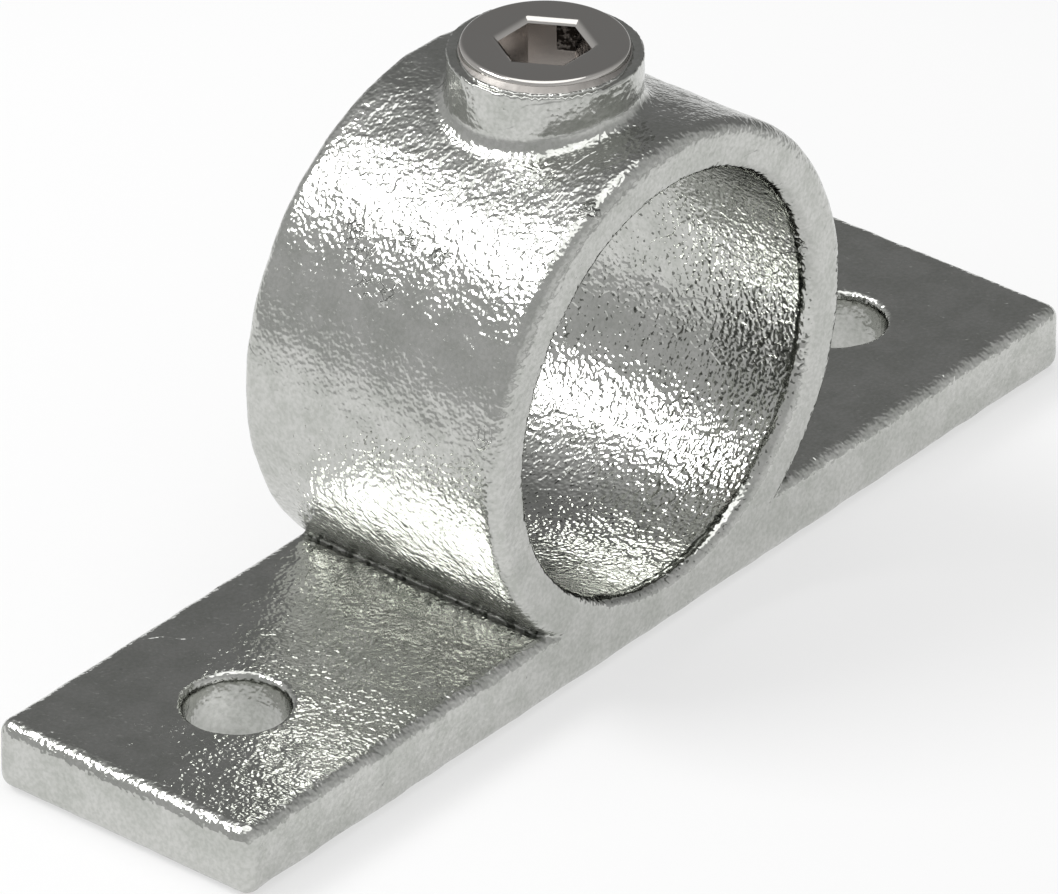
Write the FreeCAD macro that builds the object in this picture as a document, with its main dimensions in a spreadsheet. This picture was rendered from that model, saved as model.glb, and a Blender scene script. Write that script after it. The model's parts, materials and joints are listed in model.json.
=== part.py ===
import FreeCAD, Part
import math
import os
import Sketcher
from FreeCAD import Vector

# Double lug tube clamp: a flat cast plate with a bolt hole at each end, a wide
# ring standing on its middle that a handrail tube passes through, and a round
# boss on the ring's crown that holds one hexagon socket set screw.
# X runs along the plate, Y along the tube, Z up.  The origin is the middle of
# the plate's underside.  Millimetres.

os.makedirs("parts", exist_ok=True)
doc = FreeCAD.newDocument("tube_clamp")

# Driving sizes
SIZES = (
    ("tube_diameter", 42.4),
    ("tube_clearance", 1.6),
    ("ring_wall", 5.475),
    ("ring_lift", 0.05),
    ("plate_length", 128.5),
    ("plate_width", 32.4),
    ("plate_thickness", 7.7),
    ("edge_radius", 1.7),
    ("mouth_radius", 1.4),
    ("junction_radius", 1.0),
    ("junction_sink", 0.05),
    ("hole_spacing", 93.9),
    ("hole_diameter", 10.1),
    ("hole_edge_chamfer", 0.5),
    ("boss_diameter", 19.5),
    ("boss_rise", 4.6),
    ("boss_foot_radius", 2.2),
    ("boss_edge_chamfer", 0.3),
    ("thread_diameter", 16.66),
    ("thread_clearance", 0.05),
    ("screw_length", 10.0),
    ("screw_proud", 1.0),
    ("screw_edge_chamfer", 0.45),
    ("screw_tip_chamfer", 1.2),
    ("cup_diameter", 9.0),
    ("cup_depth", 1.4),
    ("socket_width", 8.0),
    ("socket_depth", 4.6),
    ("socket_chamfer", 0.5),
)

sheet = doc.addObject("Spreadsheet::Sheet", "sizes")
for row, (alias, value) in enumerate(SIZES, start=1):
    sheet.set("A%d" % row, alias)
    sheet.set("B%d" % row, str(value))
    sheet.setAlias("B%d" % row, alias)
doc.recompute()

# Sizes that follow from the driving ones
BORE_RADIUS = "(sizes.tube_diameter + sizes.tube_clearance) / 2"
RING_RADIUS = "(%s + sizes.ring_wall)" % BORE_RADIUS
# the ring's foot lies just inside the plate's underside
AXIS_HEIGHT = "(%s + sizes.ring_lift)" % RING_RADIUS
BOSS_TOP = "(%s + %s + sizes.boss_rise)" % (AXIS_HEIGHT, RING_RADIUS)
SCREW_TOP = "(%s + sizes.screw_proud)" % BOSS_TOP
SOCKET_CORNER = "sizes.socket_width / (2 * cos(30))"
# the bore's mouth is rounded in three flats that touch one arc, cut middle one first
MOUTH_FLAT = "sizes.mouth_radius * (1 - tan(22.5))"
MOUTH_EDGE = "sizes.mouth_radius * (tan(22.5) - tan(11.25))"
UP = Vector(0, 0, 1)
ALONG = Vector(0, 1, 0)


def number(expression):
    """The present value of an expression of the sheet's sizes."""
    return float(sheet.evalExpression(expression))


def plane(body, role):
    """One of the body's own origin planes."""
    return next(item for item in body.Origin.OriginFeatures if item.Role == role)


def add_sketch(body, name, role, offsets=()):
    """A sketch on an origin plane of the body, moved by (axis, expression) offsets."""
    sketch = body.newObject("Sketcher::SketchObject", name)
    sketch.AttachmentSupport = [(plane(body, role), "")]
    sketch.MapMode = "FlatFace"
    for axis, expression in offsets:
        sketch.setExpression("AttachmentOffset.Base.%s" % axis, expression)
    return sketch


def bind(sketch, kind, places, expression):
    """A dimension of the sketch that follows an expression of the sheet's sizes."""
    index = sketch.addConstraint(Sketcher.Constraint(kind, *places, number(expression)))
    sketch.setExpression("Constraints[%d]" % index, expression)


def add_circle(sketch, across, radius):
    """A circle on the sketch's X axis, at a distance from its origin, or at the origin."""
    at = number(across) if across else 0.0
    circle = Part.Circle(Vector(at, 0, 0), Vector(0, 0, 1), number(radius))
    index = sketch.addGeometry(circle)
    if across:
        sketch.addConstraint(Sketcher.Constraint("PointOnObject", index, 3, -1))
        bind(sketch, "DistanceX", (-1, 1, index, 3), across)
    else:
        sketch.addConstraint(Sketcher.Constraint("Coincident", index, 3, -1, 1))
    bind(sketch, "Radius", (index,), radius)
    return index


def add_polyline(sketch, points):
    """Closed chain of lines through points, each an (x, y) pair of numbers."""
    count = len(points)
    for index in range(count):
        start = Vector(*points[index], 0)
        end = Vector(*points[(index + 1) % count], 0)
        sketch.addGeometry(Part.LineSegment(start, end))
    for index in range(count):
        joint = ("Coincident", index, 2, (index + 1) % count, 1)
        sketch.addConstraint(Sketcher.Constraint(*joint))


def place_point(sketch, geometry, end, x, y):
    """Both coordinates of a point of the sketch, where neither is negative."""
    bind(sketch, "DistanceX", (-1, 1, geometry, end), x)
    bind(sketch, "DistanceY", (-1, 1, geometry, end), y)


def edges_where(feature, test):
    """The names of the feature's edges that pass a test."""
    edges = enumerate(feature.Shape.Edges, start=1)
    return ["Edge%d" % index for index, edge in edges if test(edge)]


def close(value, target, slack=1e-3):
    return abs(value - target) < slack


def points_of(edge):
    """The ends and the middle of an edge."""
    middle = edge.valueAt((edge.FirstParameter + edge.LastParameter) / 2)
    return [vertex.Point for vertex in edge.Vertexes] + [middle]


def on_circle(edge, centre, axis, radius):
    """Whether an edge runs along a circle about an axis through a centre."""
    arms = [point - centre for point in points_of(edge)]
    return all(close(arm.Length, radius) and close(arm.dot(axis), 0) for arm in arms)


def add_fillet(body, name, base, test, radius):
    """A fillet on the edges of the base feature that pass a test."""
    doc.recompute()
    fillet = body.newObject("PartDesign::Fillet", name)
    fillet.Base = (base, edges_where(base, test))
    fillet.setExpression("Radius", radius)
    return fillet


def add_chamfer(body, name, base, test, size):
    """A chamfer on the edges of the base feature that pass a test."""
    doc.recompute()
    chamfer = body.newObject("PartDesign::Chamfer", name)
    chamfer.Base = (base, edges_where(base, test))
    chamfer.setExpression("Size", size)
    return chamfer


# The casting's flat plate: two lugs in one piece, every outside edge rounded
casting = doc.addObject("PartDesign::Body", "clamp_casting")
casting.Label = "clamp_casting"
casting.Placement = FreeCAD.Placement()

outline = add_sketch(casting, "plate_outline", "XY_Plane")
half_length = number("sizes.plate_length / 2")
half_width = number("sizes.plate_width / 2")
add_polyline(outline, [
    (-half_length, -half_width),
    (half_length, -half_width),
    (half_length, half_width),
    (-half_length, half_width),
])
for index, direction in enumerate(("Horizontal", "Vertical", "Horizontal", "Vertical")):
    outline.addConstraint(Sketcher.Constraint(direction, index))
outline.addConstraint(Sketcher.Constraint("Symmetric", 0, 1, 1, 2, -1, 1))
bind(outline, "DistanceX", (0, 1, 0, 2), "sizes.plate_length")
bind(outline, "DistanceY", (1, 1, 1, 2), "sizes.plate_width")

plate = casting.newObject("PartDesign::Pad", "plate")
plate.Profile = outline
plate.setExpression("Length", "sizes.plate_thickness")
add_fillet(casting, "plate_edges", plate, lambda edge: True, "sizes.edge_radius")


# The ring: a flat bar section turned about the tube's axis, its faces flush with
# the plate's long sides and its foot down at the underside.  Each rim is
# rounded in four flats whose corners lie on one arc, 0.03 from it at most.  The
# arc turns through these angles from the ring's back to its face.
RIM_TURNS = (0, 22.5, 45, 67.5, 90)


def rim_corner(turn):
    """How far along the tube and how far below the ring's back a corner lies."""
    reach = "(sizes.plate_width / 2 - sizes.edge_radius * (1 - sin(%s)))" % turn
    drop = "(sizes.edge_radius * (1 - cos(%s)))" % turn
    return reach, drop


section = add_sketch(casting, "ring_section", "YZ_Plane", [("y", AXIS_HEIGHT)])
corners = []
for turn in RIM_TURNS:
    reach, drop = rim_corner(turn)
    corners.append((reach, "%s - %s" % (RING_RADIUS, drop)))
right_side = [(number(reach), number(outward)) for reach, outward in corners]
right_side.append((half_width, 0))
left_side = [(-across, outward) for across, outward in reversed(right_side)]
add_polyline(section, right_side + left_side)
for count, corner in enumerate(corners):
    place_point(section, count, 1, *corner)
foot = len(corners)
section.addConstraint(Sketcher.Constraint("PointOnObject", foot, 1, -1))
section.addConstraint(Sketcher.Constraint("Vertical", foot - 1))
last = len(right_side + left_side) - 1
for count in range(len(right_side)):
    mirrored = ("Symmetric", count, 1, last - count, 1, -2)
    section.addConstraint(Sketcher.Constraint(*mirrored))

ring = casting.newObject("PartDesign::Revolution", "ring")
ring.Profile = section
ring.ReferenceAxis = (section, ["H_Axis"])
ring.Angle = 360


# The web of metal that fills the sharp corner where the ring leaves the plate.
# It keeps its radius between the rounded sides and runs out to nothing in the
# crease between the ring's rounded rim and the plate's rounded edge, sinking a
# little into both so that it stays joined to the rim's flats.
def junction_section(name, side, turn):
    """The web's section where the rounded edges have turned through an angle."""
    reach, drop = rim_corner(turn)
    sink = "sizes.junction_sink * sin(%s)" % turn
    top = "(sizes.plate_thickness - %s - %s)" % (drop, sink)
    rim_radius = "(%s - %s - %s)" % (RING_RADIUS, drop, sink)
    web = "(sizes.junction_radius * cos(%s))" % turn
    fall = "(%s - %s)" % (AXIS_HEIGHT, top)
    # centre of the fillet arc, which touches the plate from above and the ring from outside
    centre_x = "sqrt((%s + %s)^2 - (%s - %s)^2)" % (rim_radius, web, fall, web)
    centre_z = "%s + %s" % (top, web)
    share = "%s / (%s + %s)" % (rim_radius, rim_radius, web)
    touch_x = "%s * %s" % (centre_x, share)
    # a root well inside both plate and ring closes the section
    corner_x = "sqrt(%s^2 - %s^2)" % (rim_radius, fall)
    root_x = "%s - 2 * %s" % (corner_x, web)
    root_z = "%s - %s / 2" % (top, web)

    sketch = add_sketch(casting, name, "XZ_Plane", [("z", "%d * %s" % (side, reach))])
    centre = Vector(number(centre_x), number(centre_z), 0)
    hub = Vector(0, number(AXIS_HEIGHT), 0)
    touch = centre + (hub - centre).normalize() * number(web)
    foot = Vector(centre.x, number(top), 0)
    root = Vector(number(root_x), number(root_z), 0)
    aim = math.atan2(touch.y - centre.y, touch.x - centre.x)
    arc = Part.ArcOfCircle(Part.Circle(centre, Vector(0, 0, 1), number(web)),
                           aim, 1.5 * math.pi)
    sketch.addGeometry(arc)
    sketch.addGeometry(Part.LineSegment(foot, root))
    sketch.addGeometry(Part.LineSegment(root, touch))
    sketch.addConstraint(Sketcher.Constraint("Coincident", 0, 2, 1, 1))
    sketch.addConstraint(Sketcher.Constraint("Coincident", 1, 2, 2, 1))
    sketch.addConstraint(Sketcher.Constraint("Coincident", 2, 2, 0, 1))
    place_point(sketch, 0, 3, centre_x, centre_z)
    bind(sketch, "Radius", (0,), web)
    bind(sketch, "DistanceX", (-1, 1, 0, 2), centre_x)
    bind(sketch, "DistanceX", (-1, 1, 0, 1), touch_x)
    place_point(sketch, 1, 2, root_x, root_z)
    return sketch


# on the rim's face the web has run out, so it has no section there
web_turns = RIM_TURNS[:-1]
stations = [(-1, turn) for turn in reversed(web_turns)] + [(1, turn) for turn in web_turns]
sections = [
    junction_section("junction_section_%d" % count, side, turn)
    for count, (side, turn) in enumerate(stations)
]
web = casting.newObject("PartDesign::AdditiveLoft", "junction_web")
web.Profile = sections[0]
web.Sections = sections[1:]
web.Ruled = True

webs = casting.newObject("PartDesign::Mirrored", "both_junction_webs")
webs.Originals = [web]
webs.MirrorPlane = (plane(casting, "YZ_Plane"), [""])
casting.Tip = webs
doc.recompute()


# The boss on the ring's crown, with a cast fillet round its foot
boss_outline = add_sketch(casting, "boss_outline", "XY_Plane", [("z", BOSS_TOP)])
add_circle(boss_outline, None, "sizes.boss_diameter / 2")
boss = casting.newObject("PartDesign::Pad", "boss")
boss.Profile = boss_outline
boss.Reversed = True
boss.setExpression("Length", "%s - %s" % (BOSS_TOP, AXIS_HEIGHT))
doc.recompute()

boss_radius = number("sizes.boss_diameter / 2")
boss_top = number(BOSS_TOP)


def is_boss_foot(edge):
    """Whether an edge is part of the curve where the boss's side meets the ring's back."""
    reaches = [math.hypot(point.x, point.y) for point in points_of(edge)]
    on_side = all(close(reach, boss_radius) for reach in reaches)
    return on_side and edge.BoundBox.ZMax < boss_top - number("sizes.boss_rise / 2")


boss_foot = add_fillet(casting, "boss_foot", boss, is_boss_foot, "sizes.boss_foot_radius")
add_chamfer(
    casting, "boss_edge", boss_foot,
    lambda edge: on_circle(edge, Vector(0, 0, boss_top), UP, boss_radius),
    "sizes.boss_edge_chamfer")


# The tube's bore through the ring, with rounded mouths
bore_outline = add_sketch(casting, "bore_outline", "XZ_Plane", [("y", AXIS_HEIGHT)])
add_circle(bore_outline, None, BORE_RADIUS)
bore = casting.newObject("PartDesign::Pocket", "tube_bore")
bore.Profile = bore_outline
bore.SideType = "Symmetric"
bore.setExpression("Length", "2 * sizes.plate_width")
bore_radius = number(BORE_RADIUS)
mouths = [Vector(0, side * half_width, number(AXIS_HEIGHT)) for side in (-1, 1)]
mouth_flats = add_chamfer(
    casting, "mouth_flats", bore,
    lambda edge: any(on_circle(edge, centre, ALONG, bore_radius) for centre in mouths),
    MOUTH_FLAT)
flat_edges = [
    (centre + ALONG * inward * side, bore_radius + outward)
    for centre, side in zip(mouths, (1, -1))
    for inward, outward in ((number(MOUTH_FLAT), 0), (0, number(MOUTH_FLAT)))
]
add_chamfer(
    casting, "mouth_edges", mouth_flats,
    lambda edge: any(on_circle(edge, centre, ALONG, reach) for centre, reach in flat_edges),
    MOUTH_EDGE)


# The set screw's hole, from the boss's face into the bore
screw_hole_outline = add_sketch(casting, "screw_hole_outline", "XY_Plane", [("z", BOSS_TOP)])
add_circle(screw_hole_outline, None, "sizes.thread_diameter / 2 + sizes.thread_clearance")
screw_hole = casting.newObject("PartDesign::Pocket", "screw_hole")
screw_hole.Profile = screw_hole_outline
screw_hole.setExpression("Length", "%s - %s" % (BOSS_TOP, AXIS_HEIGHT))


# A bolt hole through each lug, its edges broken
lug_holes_outline = add_sketch(casting, "lug_holes_outline", "XY_Plane")
hole_across = "sizes.hole_spacing / 2"
right_hole = add_circle(lug_holes_outline, hole_across, "sizes.hole_diameter / 2")
left_centre = Vector(-number(hole_across), 0, 0)
hole_radius = number("sizes.hole_diameter / 2")
left_hole = lug_holes_outline.addGeometry(Part.Circle(left_centre, UP, hole_radius))
lug_holes_outline.addConstraint(
    Sketcher.Constraint("Symmetric", left_hole, 3, right_hole, 3, -2))
lug_holes_outline.addConstraint(Sketcher.Constraint("Equal", left_hole, right_hole))

lug_holes = casting.newObject("PartDesign::Pocket", "lug_holes")
lug_holes.Profile = lug_holes_outline
lug_holes.Reversed = True
lug_holes.setExpression("Length", "sizes.plate_thickness")
hole_ends = [Vector(side * number(hole_across), 0, height)
             for side in (-1, 1)
             for height in (0, number("sizes.plate_thickness"))]
add_chamfer(
    casting, "lug_hole_edges", lug_holes,
    lambda edge: any(on_circle(edge, centre, UP, hole_radius) for centre in hole_ends),
    "sizes.hole_edge_chamfer")


# The set screw: a hexagon socket grub screw with a cup point, in its own frame
# with the cup's rim at the origin.  Its thread is drawn as a plain shank here.
screw = doc.addObject("PartDesign::Body", "set_screw")
screw.Label = "set_screw"
screw.setExpression("Placement.Base.z", "%s - sizes.screw_length" % SCREW_TOP)

shank_radius = number("sizes.thread_diameter / 2")
screw_length = number("sizes.screw_length")
profile = add_sketch(screw, "screw_profile", "XZ_Plane")
add_polyline(profile, [
    (0, number("sizes.cup_depth")),
    (number("sizes.cup_diameter / 2"), 0),
    (shank_radius, 0),
    (shank_radius, screw_length),
    (0, screw_length),
])
profile.addConstraint(Sketcher.Constraint("PointOnObject", 0, 1, -2))
profile.addConstraint(Sketcher.Constraint("PointOnObject", 0, 2, -1))
profile.addConstraint(Sketcher.Constraint("Horizontal", 1))
profile.addConstraint(Sketcher.Constraint("Vertical", 2))
profile.addConstraint(Sketcher.Constraint("Horizontal", 3))
profile.addConstraint(Sketcher.Constraint("PointOnObject", 3, 2, -2))
bind(profile, "DistanceY", (-1, 1, 0, 1), "sizes.cup_depth")
bind(profile, "DistanceX", (-1, 1, 0, 2), "sizes.cup_diameter / 2")
bind(profile, "DistanceX", (-1, 1, 1, 2), "sizes.thread_diameter / 2")
bind(profile, "DistanceY", (2, 1, 2, 2), "sizes.screw_length")

shank = screw.newObject("PartDesign::Revolution", "shank")
shank.Profile = profile
shank.ReferenceAxis = (profile, ["V_Axis"])
shank.Angle = 360
crown_edge = add_chamfer(
    screw, "crown_edge", shank,
    lambda edge: on_circle(edge, Vector(0, 0, screw_length), UP, shank_radius),
    "sizes.screw_edge_chamfer")
add_chamfer(
    screw, "tip_edge", crown_edge,
    lambda edge: on_circle(edge, Vector(0, 0, 0), UP, shank_radius),
    "sizes.screw_tip_chamfer")

# The hexagon socket, two corners on the X axis, with a chamfered mouth
hexagon = add_sketch(screw, "socket_hexagon", "XY_Plane", [("z", "sizes.screw_length")])
corner = number(SOCKET_CORNER)
add_polyline(hexagon, [
    (corner * math.cos(math.radians(60 * count)), corner * math.sin(math.radians(60 * count)))
    for count in range(6)
])
corner_circle = hexagon.addGeometry(Part.Circle(Vector(0, 0, 0), UP, corner), True)
hexagon.addConstraint(Sketcher.Constraint("Coincident", corner_circle, 3, -1, 1))
for side in range(6):
    hexagon.addConstraint(Sketcher.Constraint("PointOnObject", side, 1, corner_circle))
for side in range(1, 6):
    hexagon.addConstraint(Sketcher.Constraint("Equal", 0, side))
hexagon.addConstraint(Sketcher.Constraint("PointOnObject", 0, 1, -1))
bind(hexagon, "Radius", (corner_circle,), SOCKET_CORNER)

socket = screw.newObject("PartDesign::Pocket", "hexagon_socket")
socket.Profile = hexagon
socket.setExpression("Length", "sizes.socket_depth")


def is_socket_mouth(edge):
    """Whether an edge is one of the socket's six sides in the screw's top face."""
    box = edge.BoundBox
    level = close(box.ZMin, screw_length) and close(box.ZMax, screw_length)
    return level and box.DiagonalLength < corner * 1.1


add_chamfer(screw, "socket_mouth", socket, is_socket_mouth, "sizes.socket_chamfer")
doc.recompute()


# Every feature has to have been made, and each piece has to be one whole solid
for item in doc.Objects:
    if "Invalid" in item.State or "Error" in item.State:
        raise RuntimeError("%s was not made: %s" % (item.Name, item.getStatusString()))
for piece in (casting, screw):
    shape = piece.Shape
    if shape.isNull() or not shape.isValid() or len(shape.Solids) != 1:
        raise RuntimeError("%s is not one valid solid" % piece.Label)
    shape.exportStep("parts/%s.step" % piece.Label)
    print("%s: %.0f cubic mm" % (piece.Label, shape.Volume))
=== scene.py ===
import json
from math import cos, pi, radians, sin

import bpy
import numpy as np
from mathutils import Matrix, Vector


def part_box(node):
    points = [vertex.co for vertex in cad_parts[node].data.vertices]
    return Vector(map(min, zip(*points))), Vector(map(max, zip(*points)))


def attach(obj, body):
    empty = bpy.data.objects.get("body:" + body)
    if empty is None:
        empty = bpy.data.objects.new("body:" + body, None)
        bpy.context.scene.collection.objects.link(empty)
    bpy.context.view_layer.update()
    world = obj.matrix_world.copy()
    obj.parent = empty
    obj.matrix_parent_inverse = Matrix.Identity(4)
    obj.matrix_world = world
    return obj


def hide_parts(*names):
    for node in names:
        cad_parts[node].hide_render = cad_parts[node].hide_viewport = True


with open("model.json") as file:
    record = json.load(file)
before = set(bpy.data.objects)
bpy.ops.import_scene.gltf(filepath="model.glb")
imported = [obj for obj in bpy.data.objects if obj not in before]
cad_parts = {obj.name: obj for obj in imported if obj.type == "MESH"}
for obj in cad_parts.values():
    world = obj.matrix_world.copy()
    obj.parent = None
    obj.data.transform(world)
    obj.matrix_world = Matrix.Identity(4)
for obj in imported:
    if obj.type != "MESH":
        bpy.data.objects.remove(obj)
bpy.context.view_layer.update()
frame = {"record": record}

# The clamp casting: a flat plate for two bolts, a ring for the handrail tube and a boss
# for the set screw, poured in sand as one piece of iron.  It was then dipped in molten
# zinc, so every edge is soft and the skin is covered in a fine grain.
mm = 0.001
mounts = {mount["name"]: mount for mount in frame["record"]["mounts"]}
half_length, half_width, boss_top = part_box("clamp_casting")[1]
axis_height = mounts["tube_bore"]["pos_m"][2]
bore_radius = mounts["tube_bore"]["dims"]["r_mm"] * mm
hole_radius = mounts["bolt_holes"]["dims"]["hole_r_mm"] * mm
hole_across = mounts["bolt_holes"]["dims"]["spacing_x_mm"] * mm / 2
ring_wall = 5.475 * mm
ring_radius = bore_radius + ring_wall
plate_thickness = 7.7 * mm
edge_radius = 1.7 * mm
mouth_reach = 1.4 * mm
mouth_depth = 1.9 * mm
junction_radius = 0.2 * mm
boss_radius = 9.75 * mm
boss_half = 4.5 * mm
boss_foot_radius = 1.4 * mm
boss_edge_radius = 0.16 * mm
hole_edge_radius = 0.85 * mm
screw_hole_radius = 8.38 * mm
screw_hole_edge = 0.2 * mm
coarse_wave, coarse_wave_size = 0.05 * mm, 2.6 * mm
fine_wave, fine_wave_size = 0.02 * mm, 1.2 * mm
wave_room = 0.07 * mm


def ramp(value, start, end):
    """Smooth step: 0 before start, 1 after end, and 3t^2 - 2t^3 between."""
    share = np.clip((value - start) / (end - start), 0, 1)
    return share * share * (3 - 2 * share)


def block(offsets, halves, rounding):
    """Distance from a block with rounded edges: how far a point lies beyond the block
    drawn in by the rounding, less the rounding."""
    beyond = [np.abs(offset) - half + rounding for offset, half in zip(offsets, halves)]
    outside = np.sqrt(sum(np.maximum(gap, 0) ** 2 for gap in beyond))
    deepest = beyond[0]
    for gap in beyond[1:]:
        deepest = np.maximum(deepest, gap)
    return outside + np.minimum(deepest, 0) - rounding


def disc(reach, along, radius, half, rounding):
    """Distance from a round bar of a half length with rounded rims, where reach is how
    far a point lies from its axis and along how far from its middle."""
    rim, face = reach - radius + rounding, np.abs(along) - half + rounding
    outside = np.hypot(np.maximum(rim, 0), np.maximum(face, 0))
    return outside + np.minimum(np.maximum(rim, face), 0) - rounding


def fuse(one, other, fillet):
    """Distance from two joined bodies with a fillet in the corner between them: within
    a fillet's radius of both, it is that radius less the diagonal of what remains."""
    corner = np.hypot(np.maximum(fillet - one, 0), np.maximum(fillet - other, 0))
    return np.maximum(fillet, np.minimum(one, other)) - corner


def cut(body, inside_hole, depth, reach):
    """Distance from a body with a hole taken out, where inside_hole is how deep a point
    lies in the hole.  The hole's edge is a quarter ellipse: its depth down the hole's
    wall and its reach over the face scale the two distances, and the edge is where the
    diagonal of what remains of them is 1."""
    down, over = 1 + body / depth, 1 + inside_hole / reach
    corner = np.hypot(np.maximum(down, 0), np.maximum(over, 0)) - 1
    return (np.minimum(np.maximum(down, over), 0) + corner) * min(depth, reach)


def casting_form(x, y, z):
    """Distance from the casting's surface, negative inside the iron: the plate, ring and
    boss fused with their fillets, less the bore, the screw hole and the lug holes."""
    plate_middle = plate_thickness / 2
    plate = block((x, y, z - plate_middle), (half_length, half_width, plate_middle), edge_radius)
    reach = np.hypot(x, z - axis_height)
    ring = disc(reach, y, ring_radius, half_width, edge_radius)
    # the fillet between ring and plate runs out in the crease at their flush faces
    runout = 1 - ramp(np.abs(y), half_width - 1.6 * mm, half_width - 0.3 * mm)
    above = ramp(z, plate_thickness - 4 * mm, plate_thickness - 2 * mm)
    body = fuse(plate, ring, junction_radius * runout * above)
    off_centre = np.hypot(x, y)
    boss = disc(off_centre, z - boss_top + boss_half, boss_radius, boss_half, boss_edge_radius)
    body = fuse(body, boss, boss_foot_radius * ramp(z, axis_height, boss_top - 2 * boss_half))
    body = cut(body, bore_radius - reach, mouth_depth, mouth_reach)
    screw_hole = np.minimum(screw_hole_radius - off_centre, z - axis_height)
    body = cut(body, screw_hole, screw_hole_edge, screw_hole_edge)
    lug_hole = hole_radius - np.hypot(np.abs(x) - hole_across, y)
    return cut(body, lug_hole, hole_edge_radius, hole_edge_radius)


noise_cells = 64
noise_values = np.random.default_rng(7).uniform(-1, 1, (3, noise_cells, noise_cells, noise_cells))


def unevenness(points, size, layer):
    """Smooth random heights of up to 1: random values on a lattice of a size, each
    point taking the smoothly weighted mean of the eight round it."""
    scaled = points / size
    corner = np.floor(scaled).astype(int)
    share = scaled - corner
    share = share * share * (3 - 2 * share)
    total = np.zeros(len(points))
    for step in np.ndindex(2, 2, 2):
        weight = np.prod(np.where(step, share, 1 - share), axis=1)
        cell = tuple(((corner + step) % noise_cells).T)
        total += weight * noise_values[layer][cell]
    return total


def cast_surface(points):
    """The casting's form, drawn in to leave room for the low waves of sand and zinc on it."""
    waves = coarse_wave * unevenness(points, coarse_wave_size, 0)
    waves += fine_wave * unevenness(points, fine_wave_size, 1)
    return casting_form(*points.T) + wave_room + waves


def grid_lines(start, *spans):
    """Grid lines from a start, at even steps of about a size up to each span's end, the
    numbers in millimetres."""
    lines = [np.array([start])]
    for end, step in spans:
        count = max(1, round((end - lines[-1][-1]) / step))
        lines.append(np.linspace(lines[-1][-1], end, count + 1)[1:])
    return np.concatenate(lines) * mm


def both_ways(lines):
    """Grid lines from zero, and the same mirrored below it."""
    return np.concatenate([-lines[:0:-1], lines])


def skin(distance, axes):
    """Closed surface where a distance is zero: a vertex in each grid cell that it
    crosses, at the mean of the crossings on the cell's edges, and a face round each
    crossed edge.  The faces look outwards."""
    cells, crossings, turned = [], [], []
    shape = tuple(size - 1 for size in distance.shape)
    for axis in range(3):
        lower = np.moveaxis(distance, axis, 0)[:-1]
        upper = np.moveaxis(distance, axis, 0)[1:]
        where = np.nonzero((lower < 0) != (upper < 0))
        share = lower[where] / (lower[where] - upper[where])
        index = [None] * 3
        index[axis] = where[0]
        rest = [other for other in range(3) if other != axis]
        for other, found in zip(rest, where[1:]):
            index[other] = found
        crossing = [axes[number][index[number]] for number in range(3)]
        step = axes[axis][index[axis] + 1] - axes[axis][index[axis]]
        crossing[axis] = crossing[axis] + share * step
        crossings.append(np.stack(crossing, axis=1))
        turned.append(lower[where] >= 0)
        second, third = (axis + 1) % 3, (axis + 2) % 3
        ring = []
        for back_second, back_third in ((1, 1), (0, 1), (0, 0), (1, 0)):
            cell = list(index)
            cell[second] = cell[second] - back_second
            cell[third] = cell[third] - back_third
            ring.append(np.ravel_multi_index(cell, shape))
        cells.append(np.stack(ring, axis=1))
    cells, crossings = np.concatenate(cells), np.concatenate(crossings)
    turned = np.concatenate(turned)
    cells[turned] = cells[turned][:, ::-1]
    faces = np.unique(cells, return_inverse=True)[1].reshape(-1, 4)
    count = np.bincount(faces.ravel())
    shared = np.repeat(crossings, 4, axis=0)
    totals = [np.bincount(faces.ravel(), weights=shared[:, number]) for number in range(3)]
    return np.stack(totals, axis=1) / count[:, None], faces


def slopes(surface, points):
    """Gradient of a distance, from its change over a small step each way."""
    step = 0.02 * mm
    changes = [surface(points + step * side) - surface(points - step * side) for side in np.eye(3)]
    return np.stack(changes, axis=1) / (2 * step)


def settle(surface, points, rounds):
    """Points moved onto a surface along its gradient, a few times over."""
    for _ in range(rounds):
        gradient = slopes(surface, points)
        steepness = np.sum(gradient ** 2, axis=1)
        points = points - (surface(points) / steepness)[:, None] * gradient
    return points


def mesh_object(name, vertices, faces):
    """A smoothly shaded piece at the origin, from its vertices and faces."""
    mesh = bpy.data.meshes.new(name)
    mesh.from_pydata(vertices, [], faces)
    mesh.shade_smooth()
    piece = bpy.data.objects.new(name, mesh)
    bpy.context.scene.collection.objects.link(piece)
    return piece


def point_values(piece, name, values):
    """A number at each vertex of a piece, for its material to read."""
    piece.data.attributes.new(name, "FLOAT", "POINT").data.foreach_set("value", values)


# the grid is finest at the rims, at the lug holes and at the plate's edges and top
casting_axes = (
    both_ways(grid_lines(0, (11, 0.44), (28.5, 0.52), (41, 0.9), (53, 0.42), (62.2, 0.9),
                         (64.9, 0.38))),
    both_ways(grid_lines(0, (10.5, 0.47), (13.8, 0.55), (16.8, 0.36))),
    grid_lines(-0.7, (2, 0.36), (5.4, 0.7), (9.8, 0.36), (52, 0.53), (60.4, 0.35)),
)
casting_grid = np.meshgrid(*casting_axes, indexing="ij", sparse=True)
casting_points, casting_faces = skin(casting_form(*casting_grid), casting_axes)
casting_points = settle(cast_surface, casting_points, 3)
casting = mesh_object("galvanised_clamp", casting_points, casting_faces)
casting_normals = slopes(cast_surface, casting_points)
casting_normals /= np.linalg.norm(casting_normals, axis=1)[:, None]
casting.data.normals_split_custom_set_from_vertices(casting_normals)

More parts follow.
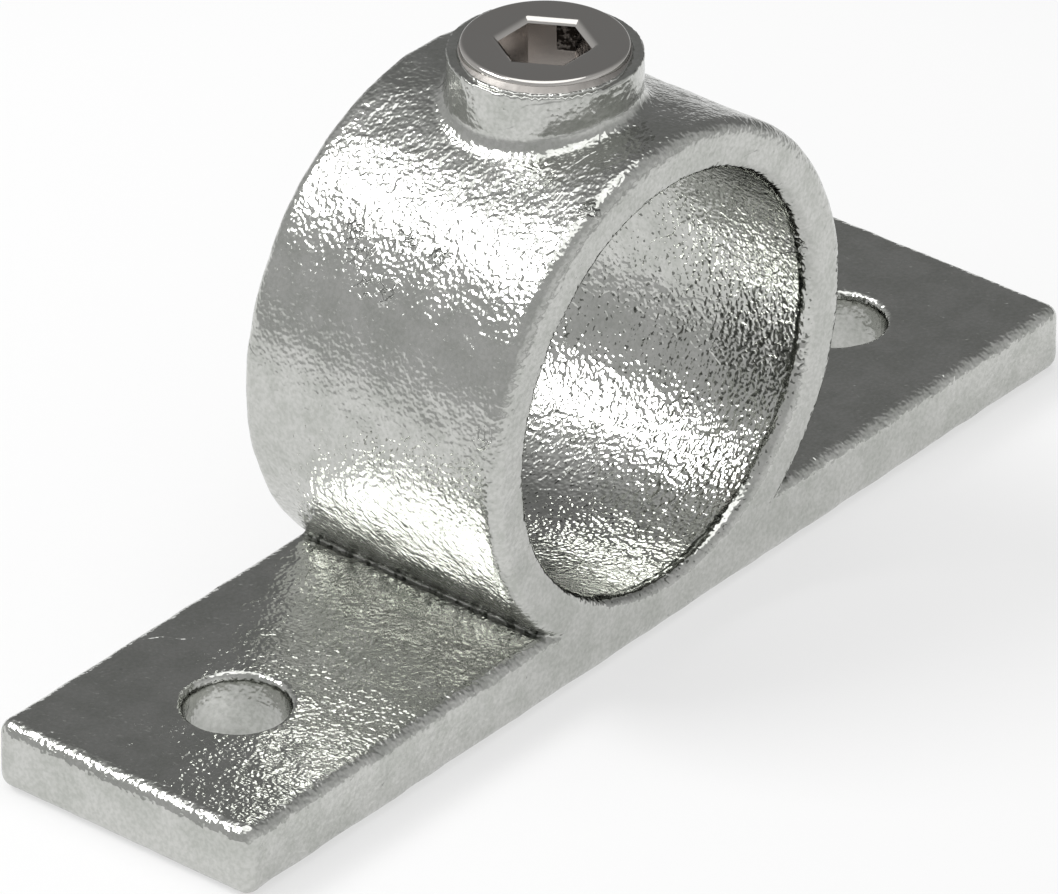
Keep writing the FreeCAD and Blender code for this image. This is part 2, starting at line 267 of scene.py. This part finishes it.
# the grain is calm on the boss, inside the lug holes and round the bore's mouths
point_x, point_y, point_z = casting_points.T
from_screw_axis = np.hypot(point_x, point_y)
boss_side = 1 - ramp(from_screw_axis, boss_radius + 0.15 * mm, boss_radius + 0.85 * mm)
boss_side *= ramp(point_z, boss_top - 8.6 * mm, boss_top - 5.6 * mm)
from_hole_axis = np.hypot(np.abs(point_x) - hole_across, point_y)
lug_wall = 1 - ramp(from_hole_axis, hole_radius + 0.1 * mm, hole_radius + 0.4 * mm)
from_bore_axis = np.hypot(point_x, point_z - axis_height)
bore_mouth = 1 - ramp(from_bore_axis, bore_radius + 1.0 * mm, bore_radius + 1.6 * mm)
bore_mouth *= ramp(np.abs(point_y), half_width - mouth_depth, half_width - 1.2 * mm)
calm_share = np.maximum(np.maximum(boss_side, lug_wall), 0.7 * bore_mouth)
point_values(casting, "grain", 1 - 0.62 * calm_share)

# zinc ash left crinkled folds where it stuck: on the ring, on its rim and in the bore's
# mouth, each place a centre and a reach in millimetres
ash_places = ((-21.5, 5.5, 44.7, 1.9), (-19.9, 1.1, 46.5, 1.5), (-20.0, -3.1, 46.4, 1.3),
              (-23.0, 1.0, 42.5, 1.6), (-20.7, 7.2, 45.7, 1.5), (-23.2, 3.6, 42.3, 1.3),
              (-26.8, -14.2, 33.6, 1.2), (-11.6, -15.1, 52.3, 1.2), (21.3, -14.3, 33.2, 1.5))
ash_share = np.zeros(len(casting_points))
for *centre, reach in ash_places:
    distance = np.linalg.norm(casting_points / mm - centre, axis=1)
    ash_share = np.maximum(ash_share, 1 - ramp(distance, 0.5 * reach, 1.1 * reach))
point_values(casting, "ash", ash_share)
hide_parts("clamp_casting")
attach(casting, "clamp_body")


def node(material, kind, **settings):
    """A new node of a material, its plain settings and inputs given by name."""
    made = material.node_tree.nodes.new(kind)
    for name, value in settings.items():
        if name in made.inputs:
            made.inputs[name].default_value = value
        else:
            setattr(made, name, value)
    return made


def link(material, source, target):
    """One node's output led to another's input."""
    material.node_tree.links.new(source, target)


def metal(name, colour, roughness):
    """A material of bare metal, and its shader."""
    material = bpy.data.materials.new(name)
    material.use_nodes = True
    shader = material.node_tree.nodes["Principled BSDF"]
    shader.inputs["Base Color"].default_value = (*colour, 1)
    shader.inputs["Metallic"].default_value = 1
    shader.inputs["Roughness"].default_value = roughness
    return material, shader


def relief(material, shader, height, depth):
    """A bump on a shader: a height of about 0 to 1 times a depth in metres."""
    bump = node(material, "ShaderNodeBump", Strength=1.0, Distance=depth)
    link(material, height, bump.inputs["Height"])
    link(material, bump.outputs["Normal"], shader.inputs["Normal"])


def noise(material, place, **settings):
    """Solid noise of 0 to 1, read at the object's own coordinates."""
    made = node(material, "ShaderNodeTexNoise", **settings)
    link(material, place.outputs["Object"], made.inputs["Vector"])
    return made.outputs["Fac"]


def coordinates(material, place):
    """The object's own coordinates one by one, as outputs named X, Y and Z."""
    made = node(material, "ShaderNodeSeparateXYZ")
    link(material, place.outputs["Object"], made.inputs["Vector"])
    return made.outputs


def spread(material, value, start, end, low, high):
    """A value mapped smoothly from start..end to low..high."""
    made = node(material, "ShaderNodeMapRange", interpolation_type="SMOOTHSTEP")
    limits = zip(("From Min", "From Max", "To Min", "To Max"), (start, end, low, high))
    for socket, amount in limits:
        made.inputs[socket].default_value = amount
    link(material, value, made.inputs["Value"])
    return made.outputs["Result"]


def combine(material, operation, *values):
    """Values put through an arithmetic operation; any of them may be a plain number."""
    made = node(material, "ShaderNodeMath", operation=operation)
    for socket, value in zip(made.inputs, values):
        if isinstance(value, (int, float)):
            socket.default_value = value
        else:
            link(material, value, socket)
    return made.outputs["Value"]


def near(material, place, centre, start, end):
    """1 within a distance of a point, falling smoothly to 0 at another."""
    made = node(material, "ShaderNodeVectorMath", operation="DISTANCE")
    link(material, place.outputs["Object"], made.inputs[0])
    made.inputs[1].default_value = centre
    return spread(material, made.outputs["Value"], start, end, 1, 0)


def tint(material, share, one, other):
    """A colour that goes from one to the other with a share; either may be fixed or
    another node's."""
    made = node(material, "ShaderNodeMix", data_type="RGBA")
    link(material, share, made.inputs[0])
    for socket, colour in zip((made.inputs[6], made.inputs[7]), (one, other)):
        if isinstance(colour, tuple):
            socket.default_value = (*colour, 1)
        else:
            link(material, colour, socket)
    return made.outputs[2]


bright_patina = (0.595, 0.598, 0.575)
dull_patina = (0.462, 0.473, 0.443)
ash_and_shade_black = (0.05, 0.055, 0.045)
grain_depth = 0.085 * mm

zinc, zinc_shader = metal("hot_dip_zinc", (0.53, 0.535, 0.51), 0.17)
zinc_place = node(zinc, "ShaderNodeTexCoord")
zinc_xyz = coordinates(zinc, zinc_place)
pools = noise(zinc, zinc_place, Scale=170, Detail=1, Roughness=0.5)
pool_edge = spread(zinc, pools, 0.55, 0.58, 0, 0.35)
pebbles = noise(zinc, zinc_place, Scale=1500, Detail=0)
grain = noise(zinc, zinc_place, Scale=2600, Detail=0)
grain_share = node(zinc, "ShaderNodeAttribute", attribute_name="grain").outputs["Fac"]
grain_height = combine(zinc, "ADD", pebbles, combine(zinc, "MULTIPLY", grain, 0.8))
grain_height = combine(zinc, "MULTIPLY", grain_height, grain_share)
folds = noise(zinc, zinc_place, Scale=800, Detail=1)
from_fold = combine(zinc, "ABSOLUTE", combine(zinc, "SUBTRACT", folds, 0.5))
crinkles = spread(zinc, from_fold, 0.01, 0.07, 1, 0)
ash_here = node(zinc, "ShaderNodeAttribute", attribute_name="ash").outputs["Fac"]
ash = combine(zinc, "MULTIPLY", ash_here, crinkles)
zinc_height = combine(zinc, "ADD", grain_height, pool_edge)
zinc_height = combine(zinc, "ADD", zinc_height, combine(zinc, "MULTIPLY", ash, 3.2))
relief(zinc, zinc_shader, zinc_height, grain_depth)

# painted shade darkens the sharp corner between the ring and the plate, more in some spots
corner_x = (ring_radius ** 2 - (axis_height - plate_thickness) ** 2) ** 0.5 + 0.1 * mm
from_corner = combine(zinc, "SUBTRACT", combine(zinc, "ABSOLUTE", zinc_xyz["X"]), corner_x)
above_plate = combine(zinc, "SUBTRACT", zinc_xyz["Z"], plate_thickness)
corner_squares = combine(zinc, "ADD", combine(zinc, "POWER", from_corner, 2),
                         combine(zinc, "POWER", above_plate, 2))
corner_distance = combine(zinc, "SQRT", corner_squares)
in_corner = spread(zinc, corner_distance, 0.35 * mm, 0.65 * mm, 1, 0)
shade_noise = noise(zinc, zinc_place, Scale=1300, Detail=1)
# the corner's painted shade is broken up into speckles
corner_shade_speckle = spread(zinc, shade_noise, 0.38, 0.5, 1, 0.5)

# painted shade also sits in a thin broken line where the bore's wall turns into its mouth,
# thinnest at the lower right
across_bore = node(zinc, "ShaderNodeVectorMath", operation="MULTIPLY_ADD")
link(zinc, zinc_place.outputs["Object"], across_bore.inputs[0])
across_bore.inputs[1].default_value = (1, 0, 1)
across_bore.inputs[2].default_value = (0, 0, -axis_height)
from_axis = node(zinc, "ShaderNodeVectorMath", operation="LENGTH")
link(zinc, across_bore.outputs["Vector"], from_axis.inputs[0])
in_bore = spread(zinc, from_axis.outputs["Value"],
                 bore_radius + 0.5 * mm, bore_radius + 0.8 * mm, 1, 0)
ragged = combine(zinc, "MULTIPLY", combine(zinc, "SUBTRACT", shade_noise, 0.5), 0.9 * mm)
from_middle = combine(zinc, "ADD", combine(zinc, "ABSOLUTE", zinc_xyz["Y"]), ragged)
past_start = spread(zinc, from_middle, half_width - 1.85 * mm, half_width - 1.7 * mm, 0, 1)
before_end = spread(zinc, from_middle, half_width - 1.5 * mm, half_width - 1.35 * mm, 1, 0)
mouth_shade_line = combine(zinc, "MULTIPLY", combine(zinc, "MULTIPLY", past_start, before_end), in_bore)
thin_place = near(zinc, zinc_place, (16.9 * mm, -14.5 * mm, 13.4 * mm), 4 * mm, 13 * mm)
line_strength = combine(zinc, "SUBTRACT", 0.92, combine(zinc, "MULTIPLY", thin_place, 0.6))

# and dark specks are painted on the bore's wall, most of them on its right wall
speck_place = near(zinc, zinc_place, (20.6 * mm, -11 * mm, 20.5 * mm), 3 * mm, 8 * mm)
speck_limit = combine(zinc, "ADD", 0.24, combine(zinc, "MULTIPLY", speck_place, 0.15))
bore_specks = spread(zinc, combine(zinc, "SUBTRACT", grain, speck_limit), 0, 0.06, 0.75, 0)
# the painted shade in the corner and at the mouth, the bore's dark specks and the zinc ash darken
# the colour towards near black
dark_share = combine(zinc, "MULTIPLY", in_corner, corner_shade_speckle)
for dark, strength in ((mouth_shade_line, line_strength), (in_bore, bore_specks), (ash, 0.3)):
    dark = combine(zinc, "MULTIPLY", dark, strength)
    dark_share = combine(zinc, "MAXIMUM", dark_share, dark)

# the coat is mottled, finely all over and in wide soft patches
patches = noise(zinc, zinc_place, Scale=260, Detail=1, Roughness=0.6)
mottle = noise(zinc, zinc_place, Scale=2100, Detail=1, Roughness=0.6)
patina_share = combine(zinc, "ADD", spread(zinc, patches, 0.35, 0.65, 0, 0.45),
                       spread(zinc, mottle, 0.3, 0.7, 0, 0.55))
patina = tint(zinc, patina_share, bright_patina, dull_patina)
link(zinc, tint(zinc, dark_share, patina, ash_and_shade_black), zinc_shader.inputs["Base Color"])
gloss = spread(zinc, mottle, 0.3, 0.7, 0.09, 0.2)
gloss = combine(zinc, "SUBTRACT", gloss, combine(zinc, "MULTIPLY", in_bore, 0.06))
gloss = combine(zinc, "ADD", gloss, combine(zinc, "MULTIPLY", in_corner, 0.3))
link(zinc, gloss, zinc_shader.inputs["Roughness"])
casting.data.materials.append(zinc)

# The zinc bead: zinc that ran up against the screw and was wiped dull while soft.  It is
# wide at the front and ends in a bright ragged edge.  It stays with the casting.
screw_low, screw_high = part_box("set_screw")
screw_radius = screw_high[0]
bead_turns, bead_rows = 720, 24
bead_front = radians(-142)
bead_inside = screw_radius + 0.025 * mm
bead_foot = boss_top - 0.25 * mm
wiped_grey = (0.365, 0.347, 0.328)
edge_grey = (0.57, 0.575, 0.55)


def ring_noise(turn, size, layer):
    """Random heights round the bead's circle."""
    around = 9 * mm
    spots = np.stack([around * np.cos(turn), around * np.sin(turn), 0 * turn], axis=-1)
    return unevenness(spots.reshape(-1, 3), size, layer).reshape(turn.shape)


def band_faces(turns, bends):
    """Faces of a closed band: each joins a point to the next round the section and to
    the same two on the next turn."""
    turn_number, bend_number = np.meshgrid(np.arange(turns), np.arange(bends), indexing="ij")
    next_turn, next_bend = (turn_number + 1) % turns, (bend_number + 1) % bends
    corners = [turn_number * bends + bend_number, next_turn * bends + bend_number,
               next_turn * bends + next_bend, turn_number * bends + next_bend]
    return np.stack(corners, axis=2).reshape(-1, 4)


# each turn's section falls from the screw to the ragged edge, with a ridge before it
bead_turn = np.linspace(0, 2 * pi, bead_turns, endpoint=False)[:, None]
bead_share = np.linspace(0, 1, bead_rows - 2)[None, :]
facing_front = ramp(np.cos(bead_turn - bead_front), 0.2, 0.95)
edge_wander = 0.11 * mm * ring_noise(bead_turn, 0.9 * mm, 1)
edge_wander += 0.07 * mm * ring_noise(bead_turn, 0.4 * mm, 2)
bead_width = (0.17 + 0.80 * facing_front) * mm + edge_wander * (0.3 + 0.7 * facing_front)
bead_rise = (0.10 + 0.50 * facing_front) * mm
ridge = 0.10 * mm * facing_front * (1 + ring_noise(bead_turn, 0.35 * mm, 0))
bead_reach = bead_inside + bead_width * bead_share
bead_level = boss_top - 0.02 * mm + bead_rise * (1 - bead_share) ** 1.2
bead_level += ridge * ramp(bead_share, 0.64, 0.88) * (1 - 0.7 * ramp(bead_share, 0.92, 1))
inner_foot, outer_foot = bead_inside + 0 * bead_turn, bead_inside + bead_width * 0.97
foot_level = np.full_like(bead_turn, bead_foot)
bead_reach = np.concatenate([inner_foot, bead_reach, outer_foot], axis=1)
bead_level = np.concatenate([foot_level, bead_level, foot_level], axis=1)
bead_points = np.stack([bead_reach * np.cos(bead_turn), bead_reach * np.sin(bead_turn),
                        bead_level], axis=2)
bead_faces = band_faces(bead_turns, bead_rows)[:, ::-1]
bead = mesh_object("zinc_bead", bead_points.reshape(-1, 3), bead_faces)
row_share = np.broadcast_to(np.linspace(0, 1, bead_rows)[None, :], bead_reach.shape)
point_values(bead, "grain", ramp(row_share, 0.6, 0.72).ravel())

wiped, wiped_shader = metal("wiped_zinc", wiped_grey, 0.4)
wiped_place = node(wiped, "ShaderNodeTexCoord")
edge_share = node(wiped, "ShaderNodeAttribute", attribute_name="grain").outputs["Fac"]
wiped_tone = tint(wiped, edge_share, wiped_grey, edge_grey)
link(wiped, wiped_tone, wiped_shader.inputs["Base Color"])
link(wiped, spread(wiped, edge_share, 0, 1, 0.5, 0.12), wiped_shader.inputs["Roughness"])
relief(wiped, wiped_shader, noise(wiped, wiped_place, Scale=900, Detail=2), 0.03 * mm)
bead.data.materials.append(wiped)
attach(bead, "clamp_body")


# The set screw: a turned steel grub screw with a hexagon socket in its top, a plain
# collar above its pipe thread and a cup that bites the tube.  It sits in the boss.
screw_length = screw_high[2] - screw_low[2]
screw_edge_reach = 0.6 * mm
screw_edge_depth = 0.42 * mm
thread_pitch = 25.4 * mm / 19
thread_depth = 0.64 * thread_pitch
thread_end = screw_length - 1.5 * mm
thread_row_step = 0.12 * mm
tip_chamfer = 1.2 * mm
cup_radius = 4.5 * mm
cup_depth = 1.4 * mm
socket_apothem = 4 * mm
socket_depth = 4.6 * mm
socket_flare = 0.85 * mm
socket_flare_depth = 0.5 * mm
socket_grey = (0.68, 0.65, 0.625)
dark_patch_black = (0.04, 0.035, 0.03)

turn = np.linspace(0, 2 * pi, 192, endpoint=False)
off_flat = np.mod(turn, pi / 3) - pi / 6


def hexagon(apothem):
    """Reach of a hexagon's side in each direction: its apothem over the cosine of the
    turn from the middle of the flat.  Its corners are on the X axis."""
    return apothem / np.cos(off_flat)


def lathe(name, rows):
    """Closed surface of rows from one pole to the other.  A row is a reach and a
    height in each direction of turn, and the first and last are single points."""
    reach = np.array([np.broadcast_to(row[0], turn.shape) for row in rows[1:-1]])
    height = np.array([np.broadcast_to(row[1], turn.shape) for row in rows[1:-1]])
    vertices = np.stack([reach * np.cos(turn), reach * np.sin(turn), height], axis=2)
    poles = [(0, 0, rows[0][1]), (0, 0, rows[-1][1])]
    count = len(turn)
    here = np.arange(count)
    ahead = (here + 1) % count
    starts = np.arange(len(reach) - 1)[:, None] * count
    quads = np.stack([starts + here, starts + ahead, starts + count + ahead,
                      starts + count + here], axis=2).reshape(-1, 4)
    first_pole = np.full(count, len(reach) * count)
    last_row = (len(reach) - 1) * count
    fans = np.concatenate([np.stack([first_pole, ahead, here], axis=1),
                           np.stack([first_pole + 1, last_row + here, last_row + ahead], axis=1)])
    return mesh_object(name, np.concatenate([vertices.reshape(-1, 3), poles]),
                       quads.tolist() + fans.tolist())


def thread_reach(height):
    """Reach of the thread at a height: the crest less a smooth wave of the thread's
    depth that climbs one pitch a turn, fading out below the collar."""
    wave = (1 - np.cos(2 * pi * height / thread_pitch - turn)) / 2
    fade = 1 - ramp(height, thread_end - thread_pitch, thread_end)
    return screw_radius - thread_depth * wave * fade


# the rows go out over the cup, up the thread, over the edge and down into the socket
rows = [(0, cup_depth)]
rows += [(cup_radius * share, cup_depth * (1 - share)) for share in (0.3, 0.6, 0.97)]
rows += [(cup_radius * 1.03, 0), (screw_radius - tip_chamfer, 0)]
for height in np.arange(thread_row_step / 2, thread_end, thread_row_step):
    rows.append((np.minimum(thread_reach(height), screw_radius - tip_chamfer + height), height))
rows.append((screw_radius, screw_length - screw_edge_depth))
for bend in np.radians(np.linspace(11.25, 90, 8)):
    rows.append((screw_radius - screw_edge_reach * (1 - cos(bend)),
                 screw_length - screw_edge_depth * (1 - sin(bend))))
rim = screw_radius - screw_edge_reach
flare_start = hexagon(socket_apothem + socket_flare)
rows += [(rim + (flare_start - rim) * share, screw_length) for share in (0.5, 1)]
for share in (0.2, 0.4, 0.6, 0.8):
    flare = hexagon(socket_apothem + socket_flare * (1 - share))
    rows.append((flare, screw_length - socket_flare_depth * share ** 2))
socket_wall = hexagon(socket_apothem)
socket_floor = screw_length - socket_depth
rows += [(socket_wall, screw_length - socket_flare_depth), (socket_wall, socket_floor),
         (socket_wall * 0.5, socket_floor), (0, socket_floor)]
rows = [(reach, height + screw_low[2]) for reach, height in rows]
screw = lathe("socket_set_screw", rows)
screw.data.set_sharp_from_angle(angle=radians(32))
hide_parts("set_screw")
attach(screw, "screw_body")

steel, steel_shader = metal("turned_steel", (0.585, 0.565, 0.54), 0.09)
steel_place = node(steel, "ShaderNodeTexCoord")
scratches = noise(steel, steel_place, Scale=900, Detail=3, Roughness=0.6)
relief(steel, steel_shader, scratches, 0.004 * mm)
screw.data.materials.append(steel)

# the broached socket is rougher and paler, and darker in a blotchy patch on part of one wall above
# a level
socket, socket_shader = metal("broached_socket", socket_grey, 0.2)
socket_place = node(socket, "ShaderNodeTexCoord")
socket_xyz = coordinates(socket, socket_place)
patch_blots = noise(socket, socket_place, Scale=1700, Detail=2, Roughness=0.6)
dark_patch_bottom = screw_high[2] - 3.3 * mm
dark_patch_zone = combine(socket, "MULTIPLY",
                    spread(socket, socket_xyz["X"], 2.2 * mm, 2.5 * mm, 0, 1),
                    spread(socket, socket_xyz["Y"], 1.55 * mm, 1.6 * mm, 1, 0))
dark_patch_zone = combine(socket, "MULTIPLY", dark_patch_zone,
                    spread(socket, socket_xyz["Z"], dark_patch_bottom, dark_patch_bottom + 0.1 * mm, 0, 1))
dark_patch_share = combine(socket, "MULTIPLY", dark_patch_zone, spread(socket, patch_blots, 0.46, 0.6, 1, 0.45))
socket_tone = tint(socket, dark_patch_share, socket_grey, dark_patch_black)
link(socket, socket_tone, socket_shader.inputs["Base Color"])
relief(socket, socket_shader, combine(socket, "MULTIPLY", dark_patch_zone, patch_blots), 0.02 * mm)
screw.data.materials.append(socket)
face_x, face_y, face_z = np.array([face.center for face in screw.data.polygons]).T
in_socket = np.hypot(face_x, face_y) < 4.9 * mm
in_socket &= (face_z < screw_high[2] - 0.46 * mm) & (face_z > screw_high[2] - 5 * mm)
screw.data.polygons.foreach_set("material_index", in_socket.astype(int))


# The studio: a white paper floor with a painted pool of light, its colour fading from near
# white round the clamp to grey further out, a softbox behind on the left, a wide one
# overhead, and a grey room that is brighter low in front and darker behind on the right.
floor_reach = 1.5
floor_level = -0.05 * mm
light_pool_reach, light_pool_fade_reach = 0.11, 0.34
light_pool_white, light_pool_grey = 0.95, 0.6
floor_mesh = bpy.data.meshes.new("floor")
floor_mesh.from_pydata([(-floor_reach, -floor_reach, floor_level),
                        (floor_reach, -floor_reach, floor_level),
                        (floor_reach, floor_reach, floor_level),
                        (-floor_reach, floor_reach, floor_level)], [], [(0, 1, 2, 3)])
floor = bpy.data.objects.new("floor", floor_mesh)
bpy.context.scene.collection.objects.link(floor)
paper = bpy.data.materials.new("floor_paper")
paper.use_nodes = True
paper_shader = paper.node_tree.nodes["Principled BSDF"]
paper_shader.inputs["Roughness"].default_value = 0.9
paper_shader.inputs["Specular IOR Level"].default_value = 0.0
paper_place = node(paper, "ShaderNodeTexCoord")
away = node(paper, "ShaderNodeVectorMath", operation="LENGTH")
link(paper, paper_place.outputs["Object"], away.inputs[0])
# painted pool of light: the paper is near white within a reach of the clamp and greyer further out
paper_light_pool = spread(paper, away.outputs["Value"],
                     light_pool_reach, light_pool_fade_reach, light_pool_white, light_pool_grey)
link(paper, paper_light_pool, paper_shader.inputs["Base Color"])

# seen straight, in the metal or through glass, the paper is nearly white, with its shadow; its
# glow carries the painted pool of light
ray = node(paper, "ShaderNodeLightPath")
seen = combine(paper, "MAXIMUM", ray.outputs["Is Camera Ray"], ray.outputs["Is Glossy Ray"])
seen = combine(paper, "MAXIMUM", seen, ray.outputs["Is Transmission Ray"])
glow = node(paper, "ShaderNodeEmission", Strength=1.0)
link(paper, paper_light_pool, glow.inputs["Color"])
blend = node(paper, "ShaderNodeMixShader")
link(paper, combine(paper, "MULTIPLY", seen, 0.6), blend.inputs["Fac"])
link(paper, paper_shader.outputs["BSDF"], blend.inputs[1])
link(paper, glow.outputs["Emission"], blend.inputs[2])
paper_output = paper.node_tree.nodes["Material Output"]
link(paper, blend.outputs["Shader"], paper_output.inputs["Surface"])
floor.data.materials.append(paper)


def direction(azimuth, elevation):
    """Unit vector at an azimuth from the X axis and an elevation, in degrees."""
    turned, raised = radians(azimuth), radians(elevation)
    return Vector((cos(raised) * cos(turned), cos(raised) * sin(turned), sin(raised)))


def softbox(name, shape, azimuth, elevation, distance, width, height, brightness):
    """A flat lamp that faces the object, its brightness that of its surface: its power
    is the brightness times pi times its area."""
    lamp = bpy.data.lights.new(name, "AREA")
    lamp.shape = shape
    lamp.size, lamp.size_y = width, height
    area = width * height if shape == "RECTANGLE" else width * height * pi / 4
    lamp.energy = brightness * pi * area
    holder = bpy.data.objects.new(name, lamp)
    aim = direction(azimuth, elevation)
    holder.location = aim * distance
    holder.rotation_euler = aim.to_track_quat("Z", "Y").to_euler()
    bpy.context.scene.collection.objects.link(holder)


softbox("key_softbox", "RECTANGLE", 130, 50.5, 0.9, 0.46, 0.29, 10.0)
softbox("overhead_softbox", "ELLIPSE", 90, 89.9, 0.9, 0.80, 0.80, 1.3)

room = bpy.data.worlds.new("grey_room")
bpy.context.scene.world = room
room.use_nodes = True
room_light = room.node_tree.nodes["Background"]
room_place = node(room, "ShaderNodeTexCoord")


def towards(side):
    """How nearly a line of sight points to one side of the room: the cosine between."""
    made = node(room, "ShaderNodeVectorMath", operation="DOT_PRODUCT")
    link(room, room_place.outputs["Generated"], made.inputs[0])
    made.inputs[1].default_value = side
    return made.outputs["Value"]


wall_grey = spread(room, towards(direction(26, 20)),
                   cos(radians(62)), cos(radians(25)), 0.54, 0.22)
front_glow = spread(room, towards(direction(-90, -12)),
                    cos(radians(60)), cos(radians(15)), 0, 0.24)
link(room, combine(room, "ADD", wall_grey, front_glow), room_light.inputs["Color"])

# The camera looks down on the clamp from its left front, from a little over a metre, with
# a long lens that keeps the plate's edges nearly parallel.
lens = bpy.data.cameras.new("camera")
lens.sensor_width = 36
lens.lens = 376.74
camera = bpy.data.objects.new("camera", lens)
aim_point = Vector((-2.436 * mm, 0, 15.556 * mm))
camera_distance = 1.0948
towards_camera = direction(-140.62, 31.43)
camera.location = aim_point + towards_camera * camera_distance
camera.rotation_euler = towards_camera.to_track_quat("Z", "Y").to_euler()
bpy.context.scene.collection.objects.link(camera)
bpy.context.scene.camera = camera
bpy.context.scene.view_settings.view_transform = "Standard"
